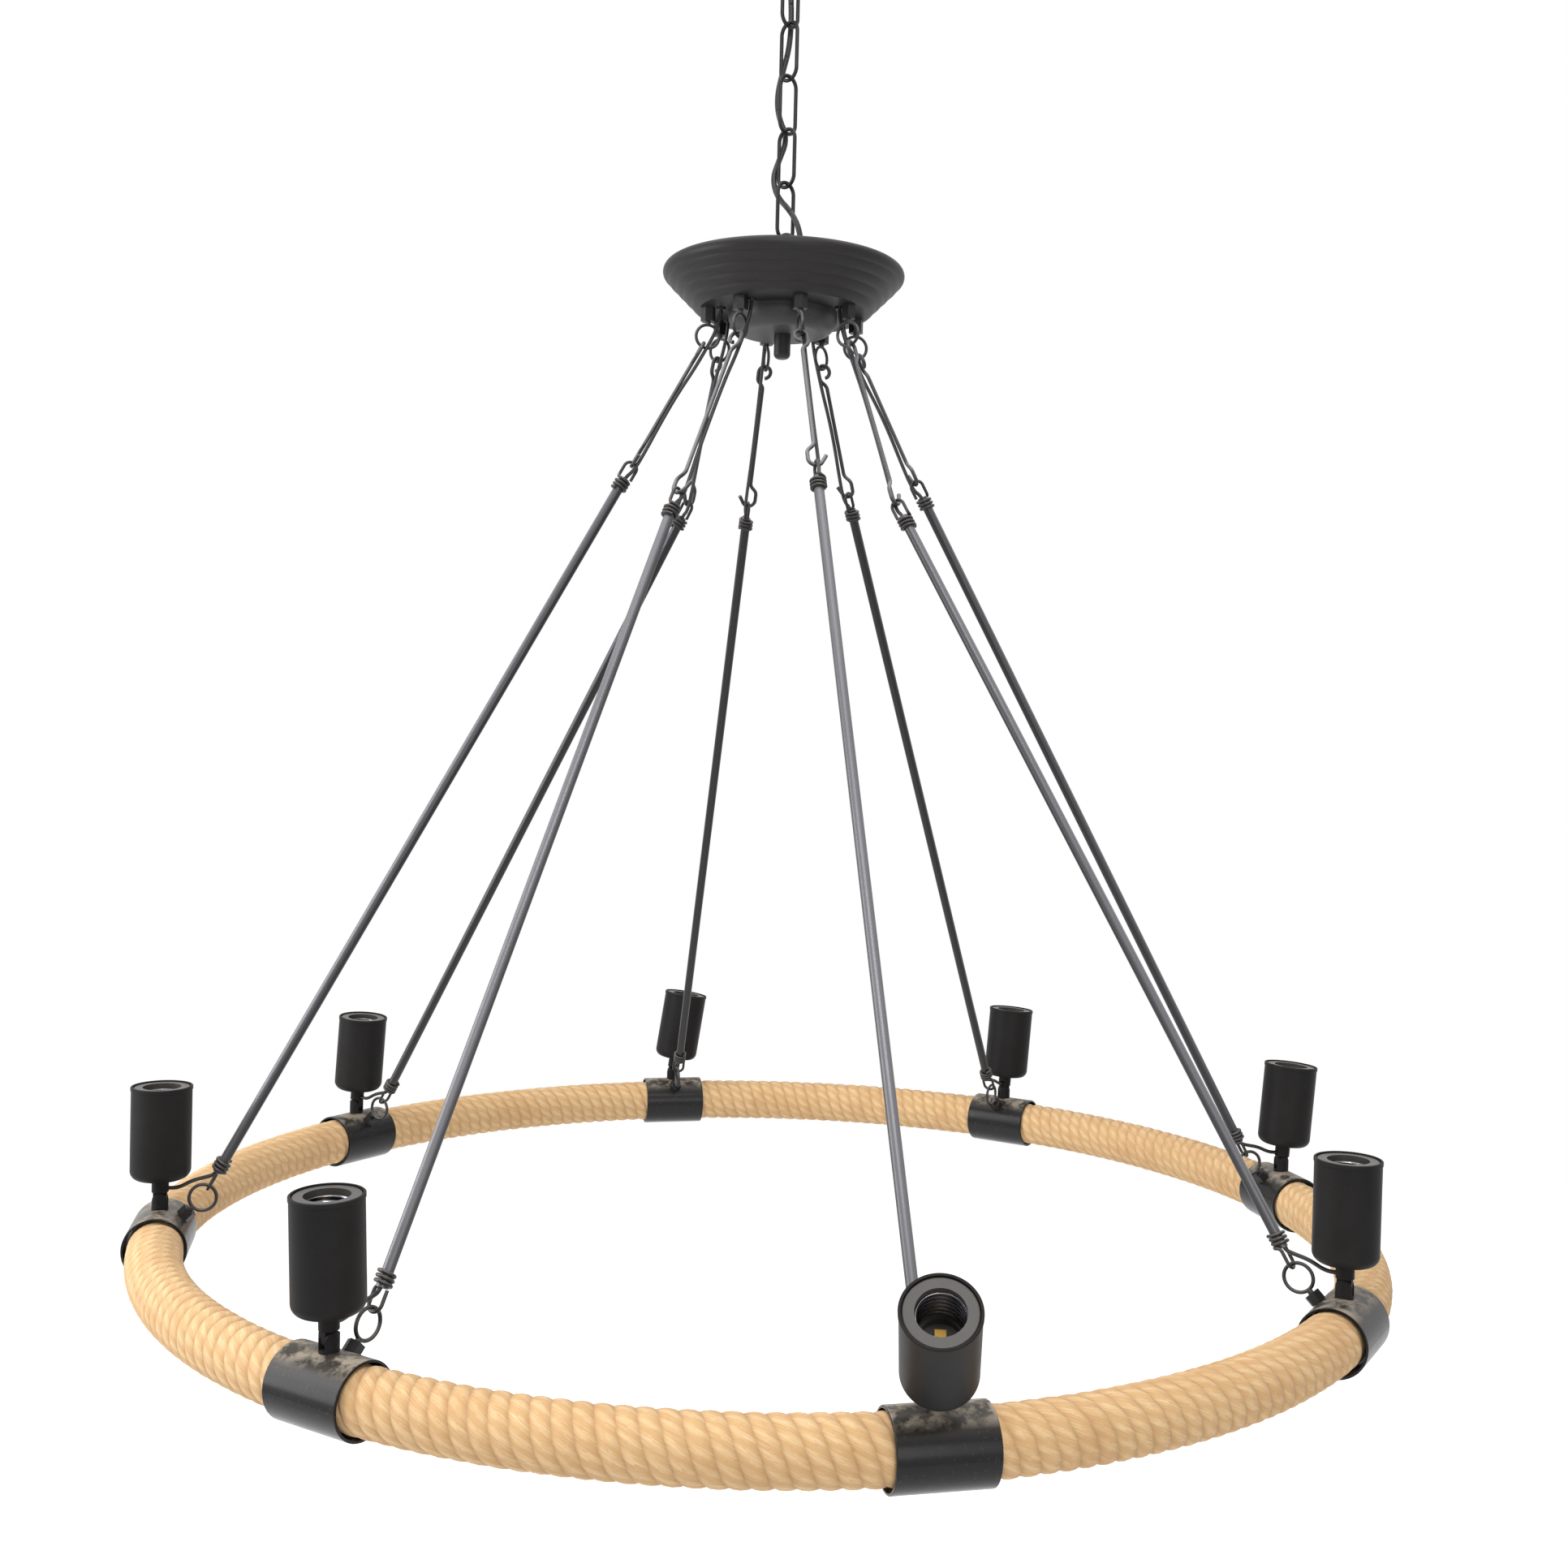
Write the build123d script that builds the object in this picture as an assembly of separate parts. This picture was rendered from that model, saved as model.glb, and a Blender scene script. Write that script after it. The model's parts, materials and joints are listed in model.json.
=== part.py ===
from build123d import *
import math
import os

# Driving dimensions in millimetres and degrees.
# The origin is the ceiling face, on the chandelier's axis, +Z up.
# Ring
lamp_count = 8
first_lamp_deg = -77.25
ring_r = 450.0
ring_tube_r = 9.8
ring_tube_wall = 1.5
seam_gap = 0.3
seam_offset = 8.0
hub_height = 709.0

# Rope wound round the ring tube, in one section between each two collars
rope_d = 9.6
rope_seat_gap = 0.1
rope_starts = 3
rope_turns = 9
rope_end_bend_r = 14.0
rope_nodes = ("rope_front", "rope_left", "rope_back", "rope_right")

# Collars and the bushes that carry them
collar_r = 22.75
collar_wall = 1.5
collar_len = 58.0
collar_edge_r = 0.6
bush_len = 12.0
fit_gap = 0.05

# Screw eyes and nuts
eye_tilt_deg = 45.0
collar_eye_wire = 2.5
collar_eye_r = 9.6
collar_eye_dist = 42.0
shank_r = 2.0
shank_reach = 13.0
nut_across = 10.0
nut_h = 7.0
hub_nut_h = 10.5
inner_nut_h = 3.5
hub_eye_wire = 2.4
hub_eye_r = 9.0
hub_eye_pcd = 118.5
hub_eye_drop = 22.0
hub_shank_rise = 6.5

# Upper hooks, lower rods and their wire eyes
hook_wire = 3.0
hook_eye_r = 5.0
hook_bend_r = 5.5
hook_lens = [122.0, 146.0, 109.0, 116.0, 118.0, 107.0, 108.0, 131.0]
hook_sag_deg = [0.0, 0.0, 0.0, 16.0, 0.0, 4.0, 2.0, 9.5]
hook_kink = 7.0
hook_corner_r = 6.0
hook_tail = 7.0
hook_open_deg = -30.0
eye_close_deg = 262.0
rod_r = 3.75
rod_wall = 1.0
rod_eye_wire = 2.4
rod_eye_len = 14.0
rod_eye_wraps = 3
rod_eye_pitch = 2.9
rod_eye_bend_r = 3.2
rod_eye_start = 3.0
rod_eye_leg = 13.4
contact_gap = 0.1

# Lamps: foot, pin, cup with stem, socket and contact
lamp_names = [f"lamp_{n + 1}" for n in range(lamp_count)]
foot_turn_deg = [-18.5, 0.0, 0.0, 0.0, -90.0, -45.0, 0.0, 0.0]
lamp_lean_deg = [42.5, 2.5, 0.0, -4.5, 8.5, 4.0, 4.5, 0.0]
stem_r = 6.0
stem_bore_r = 3.5
pivot_h = 6.5
ear_r = 5.4
tongue_t = 4.0
tongue_r = 4.8
joint_gap = 0.3
pin_r = 1.5
spigot_r = 3.0
stem_shoulder_h = 5.8
cable_hole_h = 8.3
cable_hole_r = 2.0
cup_bottom_h = 15.5
cup_r = 21.25
cup_h = 68.0
cup_wall = 1.2
cup_corner_r = 7.0
cup_bead_h = 3.0
cup_bead_t = 0.4
nipple_r = 5.0
nipple_h = 5.0
socket_gap = 0.25
socket_recess = 0.8
socket_bore_r = 13.4
socket_bore_depth = 27.0
socket_well_r = 11.5
socket_well_depth = 5.0
socket_foot_r = 13.0
socket_foot_h = 12.0
contact_w = 6.0
contact_t = 0.8
contact_len = 9.0
contact_h = 4.0
contact_base = 2.0

# Hub
dish_floor_r = 66.5
dish_wall = 1.5
dish_cone_h = 24.0
dish_ridges = 4
dish_ridge_h = 0.9
rim_r = 94.2
rim_mid_h = 28.5
rim_top_r = 91.5
rim_top_h = 34.0
rim_lip = 1.6
lid_h = 19.0
lid_t = 1.5
bowl_r = 42.5
bowl_wall = 1.2
bowl_side_h = 4.0
bowl_floor_r = 29.0
bowl_h = 16.0
hub_rod_r = 5.0
hub_rod_bore_r = 3.2
finial_r = 6.5
finial_h = 19.0
hub_neck_r = 8.0
hub_neck_h = 20.0
loop_wire = 4.0
loop_r = 10.0
loop_sink = 1.4
cord_entry_x = 13.5
cord_entry_y = -3.0
block_r = 30.0
block_bore_r = 9.0
block_h = 14.0
bush_r = 49.5
bush_side = 3.3
cable_bush_r = 3.5
cable_bush_t = 1.5
cable_rise = 11.0

# Chain
link_count = 5
link_wire = 3.0
link_inner_len = 41.7
link_outer_w = 20.0
link_turn_deg = 45.0
link_gap = 0.3

# Ceiling fitting
bracket_len = 104.0
bracket_w = 20.0
bracket_t = 2.0
slot_spacing = 84.0
slot_len = 10.0
slot_w = 4.6
canopy_r = 62.0
canopy_floor_r = 40.0
canopy_depth = 26.0
canopy_wall = 1.2
canopy_seat = 0.3
nipple_outer_r = 5.0
nipple_bore_r = 3.2
nipple_nut_h = 5.0
nipple_nut_across = 17.0
canopy_neck_h = 14.0

# Cord and lamp cables
cord_r = 2.2
cable_r = 1.4
cord_clear = 0.4

# Places worked out from the dimensions above
canopy_loop_z = -canopy_depth - canopy_neck_h - loop_r - loop_wire / 2 + loop_sink
link_end_r = (link_outer_w - link_wire) / 2
link_centres = link_inner_len + link_wire
link_step = link_centres - link_wire - link_gap
first_link_z = canopy_loop_z - loop_r + loop_wire / 2 + link_wire / 2 + link_gap
last_link_foot_z = first_link_z - (link_count - 1) * link_step - link_centres
hub_loop_z = last_link_foot_z + link_wire / 2 + loop_wire / 2 + link_gap - loop_r
lid_top_z = hub_loop_z - loop_r - loop_wire / 2 + loop_sink - hub_neck_h
floor_z = lid_top_z - lid_t - lid_h
ring_z = floor_z - hub_height
rope_wind_r = ring_tube_r + rope_seat_gap + rope_d / 2
collar_bore_r = collar_r - collar_wall
step_deg = 360.0 / lamp_count
lamp_angles = [first_lamp_deg - step_deg * n for n in range(lamp_count)]


def arc_mid(start, tangent, end):
    """Middle point of the arc that leaves start along tangent and reaches end."""
    chord = end - start
    along = chord.normalized()
    side = tangent - along * tangent.dot(along)
    if side.length < 1e-7:
        return None
    turn = math.acos(max(-1.0, min(1.0, tangent.normalized().dot(along))))
    return start + chord * 0.5 + side.normalized() * (chord.length / 2 * math.tan(turn / 2))


def arc_edge(start, tangent, end):
    mid = arc_mid(start, tangent, end)
    return Edge.make_line(start, end) if mid is None else Edge.make_three_point_arc(start, mid, end)


def biarc(start, start_dir, end, end_dir):
    """Two arcs that run from start to end and keep both directions."""
    chord = end - start
    both = start_dir + end_dir
    a = 2 * (start_dir.dot(end_dir) - 1)
    b = -2 * chord.dot(both)
    c = chord.dot(chord)
    reach = -c / b if abs(a) < 1e-9 else (-b - math.sqrt(b * b - 4 * a * c)) / (2 * a)
    middle = (start + end + (start_dir - end_dir) * reach) * 0.5
    middle_dir = (middle - start - start_dir * reach).normalized()
    return [arc_edge(start, start_dir, middle), arc_edge(middle, middle_dir, end)]


def biarc_edges(places):
    """Edges through a list of (point, direction) places."""
    edges = []
    for (p0, d0), (p1, d1) in zip(places, places[1:]):
        edges += biarc(p0, d0, p1, d1)
    return edges


def round_bar(path, radius):
    """Round bar along a path of joined edges."""
    section = Plane(origin=path @ 0, z_dir=path % 0) * Circle(radius)
    return sweep(section, path=path)


def bent_path(points, radii):
    return FilletPolyline(*points, radius=radii)


def corner_radii(points, least, share=0.45):
    """The largest bend at each corner of a route that its two runs allow."""
    radii = []
    for before, here, after in zip(points, points[1:], points[2:]):
        a = Vector(here) - Vector(before)
        b = Vector(after) - Vector(here)
        half_turn = math.radians(a.get_angle(b)) / 2
        radii.append(max(least, share * min(a.length, b.length) / math.tan(half_turn)))
    return radii


def turned(profile):
    """Solid of revolution about Z from an outline of (radius, height) points."""
    outline = Polyline(*[(r, 0, z) for r, z in profile], close=True)
    return revolve(make_face(outline), Axis.Z)


def rounded_corner(low, high, radius):
    """Quarter circle between a floor's edge and the wall above it, both (radius, height) points."""
    inset = radius * (1 - math.cos(math.pi / 4))
    middle = (high[0] - inset, 0, low[1] + inset)
    return Edge.make_three_point_arc((low[0], 0, low[1]), middle, (high[0], 0, high[1]))


def hex_nut(across, height, bore):
    nut = extrude(RegularPolygon(across / math.sqrt(3), 6), height)
    return nut - Cylinder(bore, height, align=(Align.CENTER, Align.CENTER, Align.MIN))


def upright(radius, low, high):
    """Cylinder on Z between two heights."""
    return Pos(0, 0, (low + high) / 2) * Cylinder(radius, high - low)


def station(n):
    """Frame at the ring's centreline below lamp n: X outward, Y along the ring, Z up."""
    return Rot(0, 0, lamp_angles[n]) * Pos(ring_r, 0, ring_z)


def around(shape_of):
    """One copy of a shape at each lamp's angle."""
    return [shape_of(n) for n in range(lamp_count)]


# Suspension line from a hub eye to a collar eye, in the upright plane through the axis and the lamp.
# Four lines are slack: their hooks hang nearer to upright than the straight line does.
tilt = math.radians(eye_tilt_deg)
collar_eye_x = ring_r - collar_eye_dist * math.cos(tilt)
collar_eye_z = ring_z + collar_eye_dist * math.sin(tilt)
hub_eye_x = hub_eye_pcd / 2
hub_eye_z = floor_z - hub_eye_drop


line_lean = math.atan2(collar_eye_x - hub_eye_x, hub_eye_z - collar_eye_z)
hook_leans = [line_lean - math.radians(sag) for sag in hook_sag_deg]


def leaning(n, x, z, lean):
    """Frame in lamp n's upright plane: Z up along the lean, X on its outer side, Y along the ring."""
    return Rot(0, 0, lamp_angles[n]) * Pos(x, 0, z) * Rot(0, -math.degrees(lean), 0)


def below_hub_eye(n, reach):
    """Radius and height of the point that far below the centre of hub eye n, down hook n."""
    return hub_eye_x + reach * math.sin(hook_leans[n]), hub_eye_z - reach * math.cos(hook_leans[n])


def on_hook(n):
    """Frame on the wire of hub eye n, along hook n."""
    return leaning(n, *below_hub_eye(n, hub_eye_r), hook_leans[n])


def rod_line(n):
    """Joint at the foot of hook n, with the lean and length from there to the wire of collar eye n."""
    x, z = below_hub_eye(n, hub_eye_r + hook_lens[n])
    lean = math.atan2(collar_eye_x - x, z - collar_eye_z)
    return x, z, lean, math.hypot(collar_eye_x - x, z - collar_eye_z) - collar_eye_r


def on_rod(n):
    """Frame at the joint at the foot of hook n, along rod n."""
    x, z, lean, _ = rod_line(n)
    return leaning(n, x, z, lean)


# Heights along a hook from the hub eye's wire, and along a rod from its joint
hook_top = (hub_eye_wire + hook_wire) / 2 + contact_gap
rod_eye_top = (hook_wire + rod_eye_wire) / 2 + contact_gap
rod_top = rod_eye_top - rod_eye_len
wrap_r = rod_r + fit_gap + rod_eye_wire / 2


def rod_eye_foot(n):
    return -rod_line(n)[3] - (collar_eye_wire + rod_eye_wire) / 2 - contact_gap


def rod_foot(n):
    return rod_eye_foot(n) + rod_eye_len


def chain_link():
    """Oval link in the XZ plane, its upper wire's centre at the origin."""
    half = link_end_r
    low = -link_centres + half
    edges = [
        Edge.make_line((half, 0, -half), (half, 0, low)),
        Edge.make_three_point_arc((half, 0, low), (0, 0, low - half), (-half, 0, low)),
        Edge.make_line((-half, 0, low), (-half, 0, -half)),
        Edge.make_three_point_arc((-half, 0, -half), (0, 0, 0), (half, 0, -half)),
    ]
    return round_bar(Wire(edges), link_wire / 2)


def link_frame(n):
    """Place of link n, counted from the top; neighbours stand at right angles."""
    turn = link_turn_deg + 90.0 * (n % 2)
    return Pos(0, 0, first_link_z - n * link_step) * Rot(0, 0, turn)


def loop_with_neck(centre_z, neck_low, neck_high, neck_r, bore_r, tap_low, tap_high, turn):
    """Ring on a screw collar; the collar is bored through for the cord and wider for the threaded tube."""
    ring = Pos(0, 0, centre_z) * Rot(0, 0, turn) * Rot(90, 0, 0) * Torus(loop_r, loop_wire / 2)
    neck = chamfer(upright(neck_r, neck_low, neck_high).edges(), 1.0)
    loop = ring + neck
    loop -= upright(bore_r, neck_low - loop_wire, neck_high + loop_wire)
    return loop - upright(nipple_outer_r + fit_gap, tap_low, tap_high)


def ceiling_bracket():
    plate = Pos(0, 0, -bracket_t / 2) * Box(bracket_len, bracket_w, bracket_t)
    plate = fillet(plate.edges().filter_by(Axis.Z), 4.0)
    for side in (-1, 1):
        slot = extrude(SlotOverall(slot_len, slot_w), bracket_t)
        plate -= Pos(side * slot_spacing / 2, 0, -bracket_t) * slot
    return plate - upright(nipple_outer_r + fit_gap, -bracket_t, 0)


def ceiling_canopy():
    """Spun cover, open at the ceiling."""
    outer = [
        (nipple_outer_r + fit_gap, -canopy_depth),
        (canopy_floor_r, -canopy_depth),
        (canopy_r, -canopy_seat),
    ]
    slope = math.atan2(canopy_depth - canopy_seat, canopy_r - canopy_floor_r)
    inset = canopy_wall / math.sin(slope)
    floor_inset = canopy_wall / math.tan(slope) - canopy_wall / math.sin(slope)
    inner = [
        (canopy_r - inset, -canopy_seat),
        (canopy_floor_r + floor_inset, -canopy_depth + canopy_wall),
        (nipple_outer_r + fit_gap, -canopy_depth + canopy_wall),
    ]
    cover = turned(outer + inner)
    bends = [e for e in cover.edges() if abs(e.center(CenterOf.BOUNDING_BOX).Z + canopy_depth) < 0.1]
    wide = [e for e in bends if e.geom_type == GeomType.CIRCLE and abs(e.radius - canopy_floor_r) < 0.1]
    return fillet(wide, 8.0)


def hub_dish():
    """Spun dish: flat floor, ridged cone and a rolled rim."""
    cone_w = dish_cone_h
    edges = [Edge.make_line((hub_rod_r + fit_gap, 0, 0), (dish_floor_r, 0, 0))]
    foot = Vector(dish_floor_r, 0, 0)
    ridge = Vector(cone_w / dish_ridges, 0, dish_cone_h / dish_ridges)
    bulge = Vector(1, 0, -1).normalized() * dish_ridge_h
    for _ in range(dish_ridges):
        edges.append(Edge.make_three_point_arc(foot, foot + ridge * 0.5 + bulge, foot + ridge))
        foot = foot + ridge
    rim = Vector(rim_r, 0, rim_mid_h)
    top = Vector(rim_top_r, 0, rim_top_h)
    edges.append(Edge.make_three_point_arc(foot, rim, top))
    lip = Vector(rim_top_r - rim_lip, 0, rim_top_h)
    edges.append(Edge.make_line(top, lip))
    slant = dish_wall * math.sqrt(2)
    inner_foot = Vector(dish_floor_r - slant + dish_wall, 0, dish_wall)
    inner_top = foot + Vector(-slant, 0, 0)
    edges.append(Edge.make_three_point_arc(lip, rim + Vector(-slant, 0, 0), inner_top))
    edges.append(Edge.make_line(inner_top, inner_foot))
    edges.append(Edge.make_line(inner_foot, (hub_rod_r + fit_gap, 0, dish_wall)))
    edges.append(Edge.make_line((hub_rod_r + fit_gap, 0, dish_wall), (hub_rod_r + fit_gap, 0, 0)))
    dish = Pos(0, 0, floor_z) * revolve(Face(Wire(edges)), Axis.Z)
    low = floor_z - 1
    high = floor_z + dish_wall + 1
    for n in range(lamp_count):
        turn = Rot(0, 0, lamp_angles[n])
        dish -= turn * Pos(hub_eye_x, 0, 0) * upright(shank_r + fit_gap, low, high)
        bush = Pos(bush_r, bush_side, 0)
        dish -= turn * bush * upright(cable_r + cord_clear + 0.6, low, high)
    return dish


def hub_lid():
    """Flat lid whose sloping edge rests in the dish's cone."""
    edge_r = dish_floor_r + lid_h - dish_wall * math.sqrt(2) - fit_gap
    low = floor_z + lid_h
    profile = [
        (hub_rod_r + fit_gap, low),
        (edge_r, low),
        (edge_r + lid_t, low + lid_t),
        (hub_rod_r + fit_gap, low + lid_t),
    ]
    hole = Pos(cord_entry_x, cord_entry_y, 0)
    return turned(profile) - hole * upright(cord_r + cord_clear + 0.8, low - 1, low + lid_t + 1)


def hub_bowl():
    """Spun bowl below the dish, with a rounded side."""
    floor = floor_z - bowl_h
    side = floor_z - bowl_side_h
    wall = bowl_wall
    bow = Vector(bowl_r - 2.4, 0, floor + 5.2)
    inner_bow = bow + Vector(-wall, 0, wall).normalized() * wall
    edges = [
        Edge.make_line((hub_rod_r + fit_gap, 0, floor), (bowl_floor_r, 0, floor)),
        Edge.make_three_point_arc((bowl_floor_r, 0, floor), bow, (bowl_r, 0, side)),
        Edge.make_line((bowl_r, 0, side), (bowl_r, 0, floor_z)),
        Edge.make_line((bowl_r, 0, floor_z), (bowl_r - wall, 0, floor_z)),
        Edge.make_line((bowl_r - wall, 0, floor_z), (bowl_r - wall, 0, side)),
        Edge.make_three_point_arc((bowl_r - wall, 0, side), inner_bow, (bowl_floor_r, 0, floor + wall)),
        Edge.make_line((bowl_floor_r, 0, floor + wall), (hub_rod_r + fit_gap, 0, floor + wall)),
        Edge.make_line((hub_rod_r + fit_gap, 0, floor + wall), (hub_rod_r + fit_gap, 0, floor)),
    ]
    return revolve(Face(Wire(edges)), Axis.Z)


def hub_finial():
    top = floor_z - bowl_h
    body = upright(finial_r, top - finial_h, top)
    low = body.edges().sort_by(Axis.Z)[0]
    body = fillet(low, finial_r * 0.6)
    return body - upright(hub_rod_r + fit_gap, top - finial_h / 2, top)


def terminal_block():
    low = floor_z + dish_wall
    block = upright(block_r, low, low + block_h)
    return block - upright(block_bore_r, low, low + block_h)


def cable_bushes():
    """Flanged bushes: a small one for each lamp cable in the dish's floor, and a larger one in the lid."""
    def bush(hole_r, body_r, flange_r, wall):
        shape = upright(body_r, 0, wall) + upright(flange_r, -cable_bush_t, 0)
        shape += upright(flange_r, wall, wall + cable_bush_t)
        return shape - upright(hole_r, -cable_bush_t, wall + cable_bush_t)

    small = bush(cable_r + fit_gap, cable_r + cord_clear + 0.6 - fit_gap, cable_bush_r, dish_wall)
    large = bush(cord_r + fit_gap, cord_r + cord_clear + 0.8 - fit_gap, cable_bush_r + 1.2, lid_t)
    solids = []
    for n in range(lamp_count):
        solids.append(Rot(0, 0, lamp_angles[n]) * Pos(bush_r, bush_side, floor_z) * small)
    solids.append(Pos(cord_entry_x, cord_entry_y, floor_z + lid_h) * large)
    return solids


def hub_eye(n):
    ring = Pos(hub_eye_x, 0, hub_eye_z) * Rot(90, 0, 0) * Torus(hub_eye_r, hub_eye_wire / 2)
    shank_low = hub_eye_z + hub_eye_r
    shank = Pos(hub_eye_x, 0, 0) * upright(shank_r, shank_low, floor_z + hub_shank_rise)
    return Rot(0, 0, lamp_angles[n]) * (ring + shank)


def collar_eye(n):
    """Screw eye on the collar's upper inner side."""
    ring = Pos(0, 0, collar_eye_dist) * Rot(90, 0, 0) * Torus(collar_eye_r, collar_eye_wire / 2)
    shank = upright(shank_r, shank_reach, collar_eye_dist - collar_eye_r)
    return station(n) * Rot(0, eye_tilt_deg - 90, 0) * (ring + shank)


def eye_nuts():
    solids = []
    for n in range(lamp_count):
        turn = Rot(0, 0, lamp_angles[n]) * Pos(hub_eye_x, 0, 0)
        upper = hex_nut(nut_across, hub_nut_h, shank_r + fit_gap)
        outer = hex_nut(nut_across, nut_h, shank_r + fit_gap)
        inner = hex_nut(nut_across, inner_nut_h, shank_r + fit_gap)
        solids.append(turn * Pos(0, 0, floor_z - hub_nut_h) * upper)
        solids.append(turn * Pos(0, 0, floor_z + dish_wall) * inner)
        solids.append(station(n) * Rot(0, eye_tilt_deg - 90, 0) * Pos(0, 0, collar_r) * outer)
    return solids


def upper_hook(n):
    """Bent wire: a closed eye at the top and an open hook below, both across the ring's direction."""
    hook_foot = -hook_lens[n]
    eye_z = hook_top - hook_eye_r
    bend_z = hook_foot + hook_bend_r
    close = math.radians(eye_close_deg)
    eye_end = Vector(0, hook_eye_r * math.cos(close), eye_z + hook_eye_r * math.sin(close))
    eye_side = Vector(0, hook_eye_r, eye_z)
    half_way = close / 2
    eye_far = Vector(0, hook_eye_r * math.cos(half_way), eye_z + hook_eye_r * math.sin(half_way))
    bend_side = Vector(0, -hook_bend_r, bend_z)
    opening = math.radians(hook_open_deg)
    bend_end = Vector(0, hook_bend_r * math.cos(opening), bend_z + hook_bend_r * math.sin(opening))
    tail_dir = Vector(0, -math.sin(opening), math.cos(opening))
    shank = bent_path(
        [
            tuple(eye_side),
            (0, hook_eye_r, eye_z - hook_kink),
            (0, 0, eye_z - hook_kink - hook_eye_r),
            (0, 0, bend_z + hook_kink + hook_bend_r),
            (0, -hook_bend_r, bend_z + hook_kink),
            tuple(bend_side),
        ],
        [hook_corner_r] * 4,
    )
    edges = [Edge.make_three_point_arc(eye_end, eye_far, eye_side)]
    edges += shank.edges()
    edges.append(Edge.make_three_point_arc(bend_side, Vector(0, 0, hook_foot), bend_end))
    edges.append(Edge.make_line(bend_end, bend_end + tail_dir * hook_tail))
    return on_hook(n) * round_bar(Wire(edges), hook_wire / 2)


def lower_rod(n):
    low = rod_foot(n)
    return on_rod(n) * (upright(rod_r, low, rod_top) - upright(rod_r - rod_wall, low, rod_top))


def rod_eye_places():
    """Places along the wrap: down the rod's side, round a bend and three turns about the rod."""
    slope = math.atan2(rod_eye_pitch, 2 * math.pi * wrap_r)
    bend = rod_eye_bend_r
    start = -rod_eye_len + wrap_r - rod_eye_start

    def place(u, s, heading):
        turn = u / wrap_r
        point = Vector(wrap_r * math.cos(turn), wrap_r * math.sin(turn), s)
        round_dir = Vector(-math.sin(turn), math.cos(turn), 0)
        return point, round_dir * math.cos(heading) + Vector(0, 0, -math.sin(heading))

    places = [place(0, start, math.pi / 2)]
    u = bend * (1 - math.sin(slope))
    s = start - bend * math.cos(slope)
    middle = (math.pi / 2 + slope) / 2
    places.append(place(bend * (1 - math.sin(middle)), start - bend * math.cos(middle), middle))
    quarter = math.pi / 2 * wrap_r
    for step in range(rod_eye_wraps * 4 + 1):
        places.append(place(u + quarter * step, s - quarter * step * math.tan(slope), slope))
    return places


def rod_eye():
    """Wire eye in the XZ plane, its crown's wire centre at the origin, wrapped round the rod below."""
    places = rod_eye_places()
    side = places[0][0]
    crown = Edge.make_three_point_arc((-wrap_r, 0, -wrap_r), (0, 0, 0), (wrap_r, 0, -wrap_r))
    other_leg = Edge.make_line((-wrap_r, 0, -rod_eye_leg), (-wrap_r, 0, -wrap_r))
    edges = [other_leg, crown, Edge.make_line((wrap_r, 0, -wrap_r), side)]
    edges += biarc_edges(places)
    end, direction = places[-1]
    edges.append(Edge.make_line(end, end + direction * rod_eye_wire))
    return round_bar(Wire(edges), rod_eye_wire / 2), sampled(edges, rod_eye_wire * 0.25)


def sampled(edges, step):
    """Points along joined edges, each with its distance from the start."""
    points = []
    run = 0.0
    for edge in edges:
        count = max(2, int(edge.length / step))
        points += [(run + edge.length * i / count, edge @ (i / count)) for i in range(count)]
        run += edge.length
    return points


def least_gap(first, second, diameter, same):
    """Least clear distance between two round bars, or between far stretches of one bar."""
    least = 1e9
    for run_a, a in first:
        for run_b, b in second:
            if same and abs(run_a - run_b) < 2.5 * diameter:
                continue
            least = min(least, (a - b).length)
    return least - diameter


def rope_places(start_n, phase):
    """Places along one strand, from the bush below lamp start_n to the next one round the ring."""
    half_step = math.radians(step_deg)
    end_s = bush_len / 2
    total = ring_r * half_step - 2 * end_s
    bend = rope_end_bend_r
    lead_run = total - 2 * rope_d
    quarter_count = rope_turns * 4

    def wound(u, s, heading):
        ring_turn = math.radians(lamp_angles[start_n]) - (end_s + s) / ring_r
        roll = phase + u / rope_wind_r
        out = Vector(math.cos(ring_turn), math.sin(ring_turn), 0)
        along = Vector(math.sin(ring_turn), -math.cos(ring_turn), 0)
        up = Vector(0, 0, 1)
        spot = out * math.cos(roll) + up * math.sin(roll)
        point = out * ring_r + spot * rope_wind_r + up * ring_z
        cross = up * math.cos(roll) - out * math.sin(roll)
        stretch = (ring_r + rope_wind_r * math.cos(roll)) / ring_r
        direction = cross * math.cos(heading) + along * (math.sin(heading) * stretch)
        return point, direction.normalized()

    slope = 0.3
    for _ in range(30):
        bend_s = bend * math.cos(slope)
        straight_s = lead_run - 2 * bend_s
        slope = math.atan2(straight_s, rope_turns * 2 * math.pi * rope_wind_r)
    bend_u = bend * (1 - math.sin(slope))
    middle = (math.pi / 2 + slope) / 2
    places = [wound(0, rope_d, math.pi / 2)]
    places.append(wound(bend * (1 - math.sin(middle)), rope_d + bend * math.cos(middle), middle))
    run_u = rope_turns * 2 * math.pi * rope_wind_r
    for step in range(quarter_count + 1):
        share = step / quarter_count
        places.append(wound(bend_u + run_u * share, rope_d + bend_s + straight_s * share, slope))
    far_u = bend_u * 2 + run_u
    places.append(
        wound(far_u - bend * (1 - math.sin(middle)), total - rope_d - bend * math.cos(middle), middle)
    )
    places.append(wound(far_u, total - rope_d, math.pi / 2))
    return places


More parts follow.
